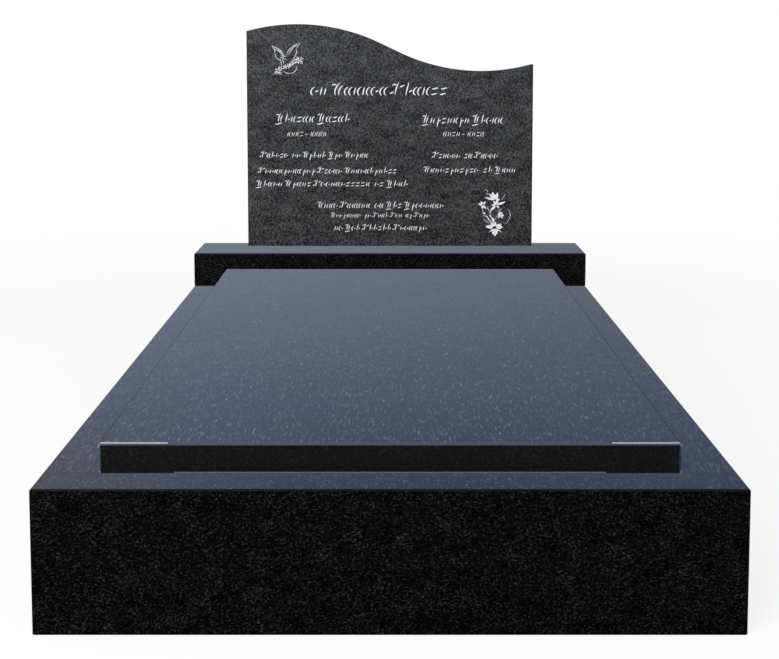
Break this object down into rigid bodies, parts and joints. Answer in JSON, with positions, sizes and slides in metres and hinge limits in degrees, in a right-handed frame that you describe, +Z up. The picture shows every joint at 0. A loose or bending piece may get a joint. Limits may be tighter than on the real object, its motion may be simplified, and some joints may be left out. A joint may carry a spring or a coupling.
{
  "type": "upright headstone with base, ledger and kerb set",
  "caption": "Polished granite grave memorial: a wave-topped upright headstone on a low base, at the head of a raised kerb surround closed by a flat ledger slab.",
  "frame": {"origin": "ground level, in the middle of the plot: the bottom centre of the kerb set", "axes": "+Z up; +Y along the plot from its foot to its head, where the headstone stands; +X to the right for someone who reads the inscription"},
  "size_m": [1.2, 2.4, 1.05],
  "materials": {
    "black_granite": "polished black granite with fine grey flecks",
    "grey_granite": "polished dark grey mottled granite, inscription cut in and painted white"
  },
  "bodies": {
    "root": {"front_kerb": "black_granite", "left_kerb": "black_granite", "right_kerb": "black_granite", "head_kerb": "black_granite", "ledger": "black_granite", "base": "black_granite", "headstone": "grey_granite"}
  },
  "joints": []
}
